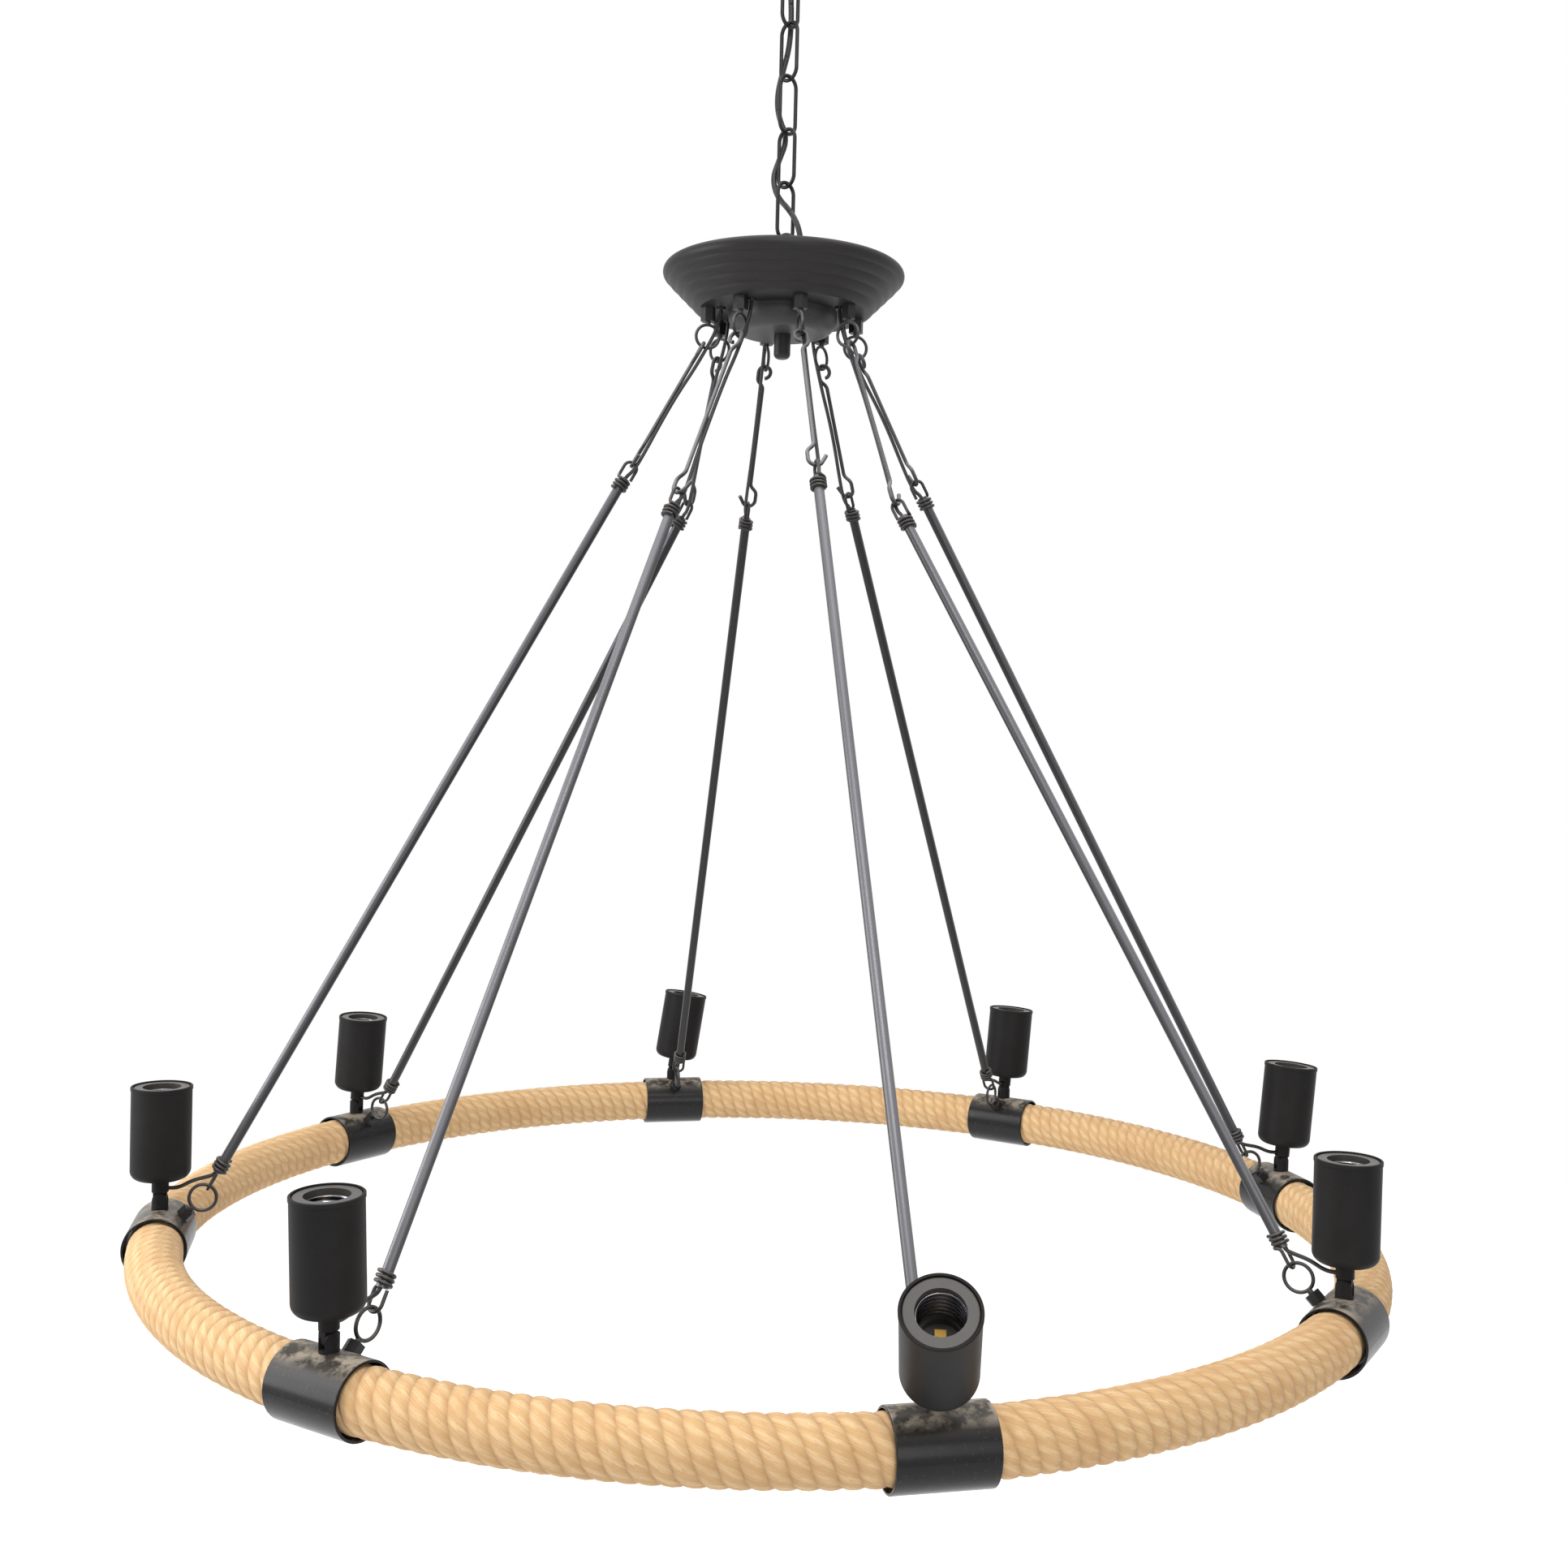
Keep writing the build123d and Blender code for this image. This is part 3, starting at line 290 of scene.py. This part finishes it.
def jute(name):
    """Twisted jute: yarns that slant across each strand, long fibres, and painted shade in the hollows between
    strands.
    """
    paint = Paint(name)
    run = paint.across("X")
    turn = paint.across("Y")
    yarns_round = 5.0
    yarn_lay = 0.042
    phase = (turn * yarns_round + run * (yarns_round / yarn_lay)) * full_turn
    wander = paint.grain(60.0, 3.0) * 5.0
    yarn = (phase + wander).sine() * 0.5 + 0.5
    slant = paint.add("ShaderNodeCombineXYZ", inputs={0: run * 90.0, 1: turn * 46.0 + run * 1150.0})
    fibre_noise = {"Vector": slant, "Scale": 1.0, "Detail": 5.0, "Roughness": 0.65}
    fibre = paint.add("ShaderNodeTexNoise", inputs=fibre_noise, output="Fac")
    patches = paint.grain(34.0, 5.0)
    edge = (turn * full_turn).math("COSINE", turn * full_turn) * 0.5 + 0.5
    # painted shade: darker towards the hollows where neighbouring strands meet
    painted_crevice_shade = ((1.0 - edge) * 4.0).clipped() ** 1.3
    pale = shade(250, 222, 176)
    middle = shade(232, 194, 143)
    brown = shade(208, 162, 112)
    crevice_shade_colour = shade(158, 114, 72)
    base = paint.mix(((fibre - 0.22) * 1.9).clipped(), brown, middle)
    base = paint.mix(((fibre * 0.75 + yarn * 0.25 - 0.42) * 2.0).clipped(), base, pale)
    base = paint.mix(((patches - 0.48) * 4.0).clipped() * 0.60, base, brown)
    base = paint.mix((painted_crevice_shade * 0.70).clipped(), base, crevice_shade_colour)
    height = yarn * 0.3 + fibre * 0.7
    return paint.set(Base_Color=base, Roughness=0.88 + (fibre - 0.5) * 0.1, Specular_IOR_Level=0.15,
                     Sheen_Weight=0.10, Sheen_Roughness=0.6, Normal=paint.bump(height, 0.0004, 0.55))


def make_finishes():
    return {
        "cup": powder_coat("cup_coat", shade(36, 35, 35), shade(66, 61, 57), 0.44, 0.06, depth=0.00005),
        "collar": powder_coat("collar_coat", shade(22, 21, 22), shade(172, 160, 144), 0.26, 0.22, 0.85,
                              depth=0.00002),
        # painted light: the bowl gets the hub's coat painted lighter than the hub itself
        "bowl": powder_coat("bowl_coat_painted_lighter", shade(58, 57, 57), shade(66, 61, 58), 0.46, 0.24, 0.40, 1.4),
        "hub": powder_coat("hub_coat", shade(31, 29, 29), shade(66, 61, 58), 0.46, 0.24, 0.40, 1.4),
        "chain": powder_coat("chain_paint", shade(24, 24, 25), shade(56, 54, 52), 0.36, 0.30),
        "nut": powder_coat("nut_coat", shade(28, 27, 27), shade(84, 79, 72), 0.42, 0.30),
        "wire": drawn_steel("hook_wire_painted_shade", shade(46, 45, 48), shade(140, 139, 143), 0.38, 0.20),
        "rod": drawn_steel("rod_painted_shade", shade(30, 29, 32), shade(138, 138, 143), 0.33, 0.20),
        "eye": drawn_steel("eye_wire_painted_shade", shade(30, 29, 30), shade(92, 88, 84), 0.40, 0.2),
        "zinc": plated_metal("zinc_plate", shade(170, 170, 168), 0.38),
        "brass": plated_metal("sprung_brass", shade(206, 164, 84), 0.26),
        "nickel": plated_metal("nickel_shell", shade(128, 128, 132), 0.17),
        "cable": moulded("cable_sheath", shade(24, 24, 25), 0.45),
        "insulator": moulded("socket_moulding", shade(58, 55, 52), 0.36),
        "jute": jute("jute_fibre"),
    }


def dress_solids(finishes):
    """Gives each solid that stays in view its finish."""
    by_node = {
        "ceiling_bracket": "zinc", "ceiling_nipple": "zinc", "nipple_nut": "zinc", "ceiling_canopy": "hub",
        "canopy_loop": "chain", "hub_dish": "hub", "hub_lid": "hub", "hub_bowl": "bowl", "hub_rod": "zinc",
        "hub_loop": "chain", "hub_finial": "nut", "terminal_block": "insulator", "cable_bushes": "cable",
        "hub_eyes": "rod", "eye_nuts": "nut", "upper_hooks": "wire", "lower_rods": "rod", "rod_eyes": "eye",
        "ring_tube": "zinc", "collars": "collar", "collar_bushes": "zinc", "collar_eyes": "eye",
        "lamp_feet": "cup", "lamp_pins": "cup",
    }
    for name, solid in frame["nodes"].items():
        kind = by_node.get(name)
        if name.startswith("chain_link"):
            kind = "chain"
        elif name.endswith("_cup"):
            kind = "cup"
        elif name.endswith("_socket"):
            kind = "insulator"
        elif name.endswith("_contact"):
            kind = "brass"
        if kind is None:
            continue
        for slot in solid.material_slots:
            slot.material = finishes[kind]


def new_piece(name, points, faces, material, runs=None):
    """A mesh piece; runs gives each corner's distance along the piece and share of the way round."""
    mesh = bpy.data.meshes.new(name)
    mesh.from_pydata([tuple(point) for point in points], [], faces)
    if runs:
        layer = mesh.uv_layers.new(name="run")
        for loop, value in zip(layer.data, runs):
            loop.uv = value
    for polygon in mesh.polygons:
        polygon.use_smooth = True
    mesh.materials.append(material)
    mesh.update()
    piece = bpy.data.objects.new(name, mesh)
    bpy.context.scene.collection.objects.link(piece)
    return piece


def frames_along(points):
    """Unit directions at each point of a line: along it and two across it, without needless twist."""
    found = []
    across = Vector((0.13, 0.97, 0.21))
    for index, point in enumerate(points):
        before = points[max(0, index - 1)]
        after = points[min(len(points) - 1, index + 1)]
        along = (after - before).normalized()
        across = (across - along * across.dot(along)).normalized()
        found.append((along, across, along.cross(across)))
    return found


def tube_mesh(points, rings, sides):
    """Points, faces and surface runs of a closed tube; rings(index) gives the offsets of its sides."""
    verts = []
    for index, point in enumerate(points):
        verts += [point + offset for offset in rings(index)]
    runs_at = [0.0]
    for before, after in zip(points, points[1:]):
        runs_at.append(runs_at[-1] + (after - before).length)
    faces = []
    runs = []
    for index in range(len(points) - 1):
        for k in range(sides):
            first = index * sides + k
            second = index * sides + (k + 1) % sides
            faces.append((first, second, second + sides, first + sides))
            low, high = k / sides, (k + 1) / sides
            u0, u1 = runs_at[index], runs_at[index + 1]
            runs += [(u0, low), (u0, high), (u1, high), (u1, low)]
    last = (len(points) - 1) * sides
    faces.append(tuple(reversed(range(sides))))
    faces.append(tuple(last + k for k in range(sides)))
    runs += [(0.0, 0.0)] * (2 * sides)
    return verts, faces, runs


def round_tube(name, points, radius, sides, material):
    directions = frames_along(points)

    def ring(index):
        _, a, b = directions[index]
        turns = [full_turn * k / sides for k in range(sides)]
        return [(a * math.cos(t) + b * math.sin(t)) * radius for t in turns]

    verts, faces, runs = tube_mesh(points, ring, sides)
    return new_piece(name, verts, faces, material, runs)


def smooth_line(route, steps=10):
    """Points read from the spline that has the route's points as its control points."""
    curve = bpy.data.curves.new("route", "CURVE")
    curve.dimensions = "3D"
    curve.resolution_u = steps
    spline = curve.splines.new("NURBS")
    spline.points.add(len(route) - 1)
    for control, place in zip(spline.points, route):
        control.co = (*place, 1.0)
    spline.order_u = 3
    spline.use_endpoint_u = True
    holder = bpy.data.objects.new("route", curve)
    bpy.context.scene.collection.objects.link(holder)
    mesh = bpy.data.meshes.new_from_object(holder)
    points = [vertex.co.copy() for vertex in mesh.vertices]
    bpy.data.objects.remove(holder)
    bpy.data.curves.remove(curve)
    bpy.data.meshes.remove(mesh)
    return points


def lamp_angle(n):
    return first_lamp_angle - lamp_step * n


def turned_frame(angle, place, lean=0.0):
    """Frame turned about Z by angle, moved to place in it, and leant about its own Y."""
    return Matrix.Rotation(angle, 4, "Z") @ Matrix.Translation(place) @ Matrix.Rotation(lean, 4, "Y")


# Suspension lines, each in the upright plane through the axis and its lamp
collar_eye_x = ring_r - collar_eye_reach * math.sqrt(0.5)
collar_eye_z = ring_z + collar_eye_reach * math.sqrt(0.5)
hub_eye_z = hub_floor_z - hub_eye_drop
line_lean = math.atan2(collar_eye_x - hub_eye_x, hub_eye_z - collar_eye_z)
rod_top = rod_eye_gap - rod_eye_len


def below_hub_eye(n, reach):
    """Radius and height of the point that far below the centre of hub eye n, down its hook."""
    lean = line_lean - hook_sags[n]
    return hub_eye_x + reach * math.sin(lean), hub_eye_z - reach * math.cos(lean)


def hook_frame(n):
    """Frame on the wire of hub eye n: Z up the hook, X on its outer side, Y along the ring."""
    x, z = below_hub_eye(n, hub_eye_r)
    return turned_frame(lamp_angle(n), (x, 0, z), hook_sags[n] - line_lean)


def rod_line(n):
    """Radius and height of the joint below hook n, the rod's lean, and the run to the collar eye's wire."""
    x, z = below_hub_eye(n, hub_eye_r + hook_lens[n])
    lean = math.atan2(collar_eye_x - x, z - collar_eye_z)
    return x, z, lean, math.hypot(collar_eye_x - x, z - collar_eye_z) - collar_eye_r


def rod_frame(n):
    """Frame at the joint below hook n: Z up the rod, X on its outer side, Y along the ring."""
    x, z, lean, _ = rod_line(n)
    return turned_frame(lamp_angle(n), (x, 0, z), -lean)


def make_upper_cable(n, finishes):
    """The cable from the hub's bush, down beside the hook's wire and into the rod."""
    hook = hook_frame(n)
    rod = rod_frame(n)
    turn = Matrix.Rotation(lamp_angle(n), 4, "Z")
    kink = rod_line(n)[2] - line_lean + hook_sags[n]
    beside_x = -0.00315
    beside_y = 0.00295
    near = -0.0023
    eye_run = 0.014
    wire_run = 0.042
    bend_run = 0.016
    below_joint = 0.003
    above_rod = 0.001
    inside_rod = 0.012
    extra_x = -0.0008
    inside_hub = math.sqrt(block_r ** 2 - bush_side ** 2)
    joint_x = beside_x / math.cos(kink) - below_joint * math.tan(kink)
    route = [
        turn @ Vector((inside_hub, bush_side, hub_floor_z + cable_rise)),
        turn @ Vector((bush_r, bush_side, hub_floor_z + cable_rise)),
        turn @ Vector((bush_r, bush_side, hub_floor_z - cable_rise)),
        hook @ Vector((beside_x + extra_x, beside_y, -eye_run)),
        hook @ Vector((near, -near, -wire_run)),
        hook @ Vector((near, -near, wire_run - hook_lens[n])),
        hook @ Vector((beside_x, beside_y, bend_run - hook_lens[n])),
        rod @ Vector((joint_x, beside_y, -below_joint)),
        rod @ Vector((0, 0, rod_top + above_rod)),
        rod @ Vector((0, 0, rod_top - inside_rod)),
    ]
    piece = round_tube(f"{lamp_names[n]}_upper_cable", smooth_line(route), cable_r, 12, finishes["cable"])
    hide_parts("lamp_cables")
    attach(piece, "chandelier")


def make_lower_cable(n, finishes):
    """The cable from the rod's foot, over the screw eye and into the stem."""
    rod = rod_frame(n)
    rod_foot = rod_eye_len - rod_line(n)[3] - rod_end_gap
    hinge = joints[f"{lamp_names[n]}_tilt"]
    pivot = Vector(hinge["pos_m"])
    hinge_axis = Vector(hinge["axis"])
    up = Vector(mounts[f"{lamp_names[n]}_bulb"]["axis"])
    hub_ward = -Vector((math.cos(lamp_angle(n)), math.sin(lamp_angle(n)), 0))
    lean = math.atan2(up.cross(Vector((0, 0, -1))).dot(hinge_axis), up.z)
    inward = Matrix.Rotation(lean, 3, hinge_axis) @ hub_ward
    outlet = pivot + up * cable_hole_h
    leaving = rod @ Vector((0, 0, rod_foot - 0.0015))
    turning = rod @ Vector((0.005, 0, rod_foot - 0.0065))
    reaching = outlet + inward * (stem_r + 0.007)
    middle = (turning + reaching) / 2 + Vector((0, 0, 0.0015))
    route = [rod @ Vector((0, 0, rod_foot + 0.012)), leaving, turning, middle, reaching,
             outlet + inward * (stem_r - 0.001), outlet, outlet + up * 0.003]
    piece = round_tube(f"{lamp_names[n]}_lower_cable", smooth_line(route), cable_r, 12, finishes["cable"])
    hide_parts("lamp_cables")
    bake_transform(piece)


def make_power_cord(finishes):
    """The supply cord, cut into one stretch for each hinge of the chain."""
    lid_hole = (0.0135, -0.003)
    loop_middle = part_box("canopy_loop")[0].z + 0.012
    above_canopy = 0.004
    inside_lid = 0.012
    drops = [
        (0.0002, 0.0076, -0.016), (0.0012, 0.0082, -0.036),
        (0.0, 0.0090, -0.058), (-0.0048, 0.0106, -0.076), (-0.0086, 0.0074, -0.095),
        (-0.0075, 0.0086, -0.111), (0.0005, 0.0094, -0.128), (-0.0068, 0.0106, -0.147),
        (-0.0106, 0.0074, -0.160), (-0.0070, 0.0046, -0.175), (0.0045, -0.0036, -0.189),
        (0.0115, -0.0060, -0.203), (*lid_hole, -0.222),
    ]
    canopy_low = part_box("ceiling_canopy")[0].z
    route = [(0, 0, canopy_low + above_canopy), (0, 0, loop_middle + 0.004)]
    route.append((0.0004, 0.0072, loop_middle - 0.002))
    route += [(x, y, first_link_z + z) for x, y, z in drops]
    route.append((*lid_hole, hub_lid_z - inside_lid))
    points = smooth_line([Vector(place) for place in route], 12)
    hinges = sorted(name for name in joints if name.startswith("chain_hinge"))
    heights = [Vector(joints[name]["pos_m"]).z for name in hinges]
    cuts = [math.inf] + [(a + b) / 2 for a, b in zip(heights, heights[1:])] + [-math.inf]
    for n, height in enumerate(heights):
        inside = [index for index, point in enumerate(points) if cuts[n] >= point.z > cuts[n + 1]]
        stretch = points[max(0, inside[0] - 1):inside[-1] + 1]
        piece = round_tube(f"power_cord_{n + 1}", stretch, cord_r, 14, finishes["cable"])
        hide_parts("power_cord")
        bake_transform(piece)


def rope_line(section, strand):
    """Points of one strand's middle and the direction away from the ring's own middle line there."""
    total = ring_r * lamp_step - 2 * bush_half
    steps_per_turn = 40
    count = rope_turns * steps_per_turn
    turns = rope_turns * total / (total - rope_lead)
    points = []
    outward = []
    for index in range(count + 1):
        share = index / count
        angle = lamp_angle(section) - (bush_half + total * share) / ring_r
        roll = full_turn * (strand / rope_strands + turns * share)
        out = Vector((math.cos(angle), math.sin(angle), 0))
        spot = out * math.cos(roll) + Vector((0, 0, math.sin(roll)))
        points.append(out * ring_r + spot * rope_wind_r + Vector((0, 0, ring_z)))
        outward.append(spot)
    return points, outward


def make_rope(section, finishes, node):
    """Three strands wound side by side between two collars, each flattened against its neighbours."""
    sides = 16
    spread = 0.0034
    unevenness = 0.00022
    bumps_per_metre = 70
    for strand in range(rope_strands):
        points, outward = rope_line(section, strand)
        directions = frames_along(points)
        seed = Vector((section * 3.1, strand * 5.7, 0))

        def ring(index):
            along = directions[index][0]
            away = (outward[index] - along * outward[index].dot(along)).normalized()
            beside = along.cross(away)
            swell = noise.noise(points[index] * bumps_per_metre + seed) * unevenness
            offsets = []
            for k in range(sides):
                turn = full_turn * k / sides
                high = math.cos(turn) * (rope_across / 2 + swell)
                wide = math.sin(turn) * (rope_across / 2 + spread + swell)
                offsets.append(away * min(high, rope_across / 2) + beside * wide)
            return offsets

        verts, faces, runs = tube_mesh(points, ring, sides)
        name = f"rope_{section + 1}_strand_{strand + 1}"
        piece = new_piece(name, verts, faces, finishes["jute"], runs)
        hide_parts(node)
        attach(piece, "chandelier")


def make_fibres(section, finishes, draw):
    """Loose jute hairs that stand a little off the strands of one section."""
    count = 150
    collar_share = 0.09
    foot_r = 0.0186
    width = 0.00006
    steps = 4
    sides = 3
    verts = []
    faces = []
    runs = []
    for _ in range(count):
        share = draw.uniform(collar_share, 1 - collar_share)
        angle = lamp_angle(section) - lamp_step * share
        roll = draw.uniform(0, full_turn)
        out = Vector((math.cos(angle), math.sin(angle), 0))
        spot = out * math.cos(roll) + Vector((0, 0, math.sin(roll)))
        along = Vector((math.sin(angle), -math.cos(angle), 0)) * draw.choice((-1, 1))
        side = spot.cross(along)
        foot = out * ring_r + spot * foot_r + Vector((0, 0, ring_z))
        length = draw.uniform(0.003, 0.008)
        rise = draw.uniform(0.08, 0.35)
        curl = draw.uniform(-0.5, 0.5)
        line = []
        for step in range(steps + 1):
            t = step / steps
            away = spot * (length * rise * t * t + 0.0004 * t)
            line.append(foot + along * (length * t) + away + side * (length * curl * t * t))

        def ring(index):
            taper = width * (1 - 0.7 * index / steps)
            turns = [full_turn * k / sides for k in range(sides)]
            return [(spot * math.cos(t) + side * math.sin(t)) * taper for t in turns]

        more_verts, more_faces, more_runs = tube_mesh(line, ring, sides)
        base = len(verts)
        verts += more_verts
        faces += [tuple(base + k for k in face) for face in more_faces]
        runs += more_runs
    piece = new_piece(f"rope_{section + 1}_fibres", verts, faces, finishes["jute"], runs)
    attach(piece, "chandelier")


def make_screw_shell(n, finishes):
    """Threaded metal shell inside the socket's bore."""
    bulb = mounts[f"{lamp_names[n]}_bulb"]
    mouth = Vector(bulb["pos_m"])
    up = Vector(bulb["axis"]).normalized()
    a = up.orthogonal().normalized()
    b = up.cross(a)
    pitch = 0.00363
    ridge = 0.0004
    shell_r = socket_bore_r - 0.0006
    outer_r = socket_bore_r - 0.00012
    top = 0.004
    low = socket_bore_depth - 0.002
    sides = 48
    rows = 60
    verts = []
    for row in range(rows + 1):
        depth = top + (low - top) * row / rows
        for k in range(sides):
            turn = full_turn * k / sides
            wave = math.cos(full_turn * depth / pitch + turn)
            radius = shell_r + ridge * wave
            verts.append(mouth - up * depth + (a * math.cos(turn) + b * math.sin(turn)) * radius)
    for depth in (low, top):
        for k in range(sides):
            turn = full_turn * k / sides
            verts.append(mouth - up * depth + (a * math.cos(turn) + b * math.sin(turn)) * outer_r)
    faces = []
    total = rows + 3
    for row in range(total):
        after = (row + 1) % total
        for k in range(sides):
            following = (k + 1) % sides
            faces.append((row * sides + k, after * sides + k, after * sides + following,
                          row * sides + following))
    piece = new_piece(f"{lamp_names[n]}_screw_shell", verts, faces, finishes["nickel"])
    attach(piece, lamp_names[n])


def make_camera():
    """The photograph's viewpoint: yaw, pitch and roll of a camera that looks along +Y."""
    turn = Matrix.Rotation(camera_yaw, 3, "Z") @ Matrix.Rotation(camera_pitch, 3, "X")
    turn = turn @ Matrix.Rotation(camera_roll, 3, "Y")
    right, forward, up = (turn.col[k] for k in range(3))
    data = bpy.data.cameras.new("camera")
    data.sensor_width = sensor_mm
    data.lens = sensor_mm * focal_px / frame_px
    data.clip_start = 0.01
    data.clip_end = 60.0
    camera = bpy.data.objects.new("camera", data)
    bpy.context.scene.collection.objects.link(camera)
    columns = Matrix((right, up, -forward)).transposed()
    camera.matrix_world = Matrix.Translation(camera_place) @ columns.to_4x4()
    bpy.context.scene.camera = camera


def make_softbox(name, place, target, size, power):
    light = bpy.data.lights.new(name, "AREA")
    light.shape = "RECTANGLE"
    light.size, light.size_y = size
    light.energy = power
    lamp = bpy.data.objects.new(name, light)
    bpy.context.scene.collection.objects.link(lamp)
    lamp.location = place
    aim = Vector(target) - Vector(place)
    lamp.rotation_mode = "QUATERNION"
    lamp.rotation_quaternion = aim.to_track_quat("-Z", "Y")


def make_surroundings():
    """White studio: a pale floor far below the ring, a white world and soft lights."""
    world = bpy.data.worlds.new("studio")
    bpy.context.scene.world = world
    world.use_nodes = True
    background = world.node_tree.nodes["Background"]
    room = Nodes(world.node_tree)
    ambient = 0.30
    room.feed(background.inputs["Color"], (1.0, 1.0, 1.0, 1.0))
    room.feed(background.inputs["Strength"], room.seen_directly() * (1 - ambient) + ambient)

    drop = 0.95
    half = 4.0
    floor_z = ring_z - drop
    corners = [(-half, -half, floor_z), (half, -half, floor_z), (half, half, floor_z), (-half, half, floor_z)]
    paint = Paint("pale_floor")
    speckle = paint.grain(9.0, 3.0)
    tone = paint.mix(speckle, shade(250, 250, 250), shade(255, 255, 255))
    glow = paint.mix(paint.seen_directly(), shade(40, 40, 40), shade(255, 255, 255))
    paint.set(Base_Color=tone, Roughness=0.9, Emission_Color=glow, Emission_Strength=0.72)
    floor = new_piece("floor", corners, [(0, 1, 2, 3)], paint.material)

    middle = (0, 0, ring_z + 0.3)
    make_softbox("overhead", (-0.1, -0.1, 1.1), middle, (2.2, 2.2), 28.0)
    make_softbox("key", (-1.6, -0.4, ring_z + 0.50), (-0.4, 0, ring_z), (0.9, 1.3), 19.0)
    make_softbox("high", (0.1, -1.7, ring_z + 1.7), (0.1, -0.45, ring_z), (1.3, 0.24), 15.0)
    make_softbox("fill", (0.6, -2.1, ring_z + 0.4), (0, 0, ring_z + 0.1), (0.9, 0.9), 8.0)
    bpy.context.scene.view_settings.view_transform = "Standard"


def main():
    finishes = make_finishes()
    make_camera()
    make_power_cord(finishes)
    for n in range(lamp_count):
        make_upper_cable(n, finishes)
        make_lower_cable(n, finishes)
    rope_nodes = ("rope_front", "rope_left", "rope_back", "rope_right")
    draw = random.Random(7)
    for section in range(lamp_count):
        make_rope(section, finishes, rope_nodes[section // 2])
        make_fibres(section, finishes, draw)
    for n in range(lamp_count):
        make_screw_shell(n, finishes)
    dress_solids(finishes)
    make_surroundings()


main()
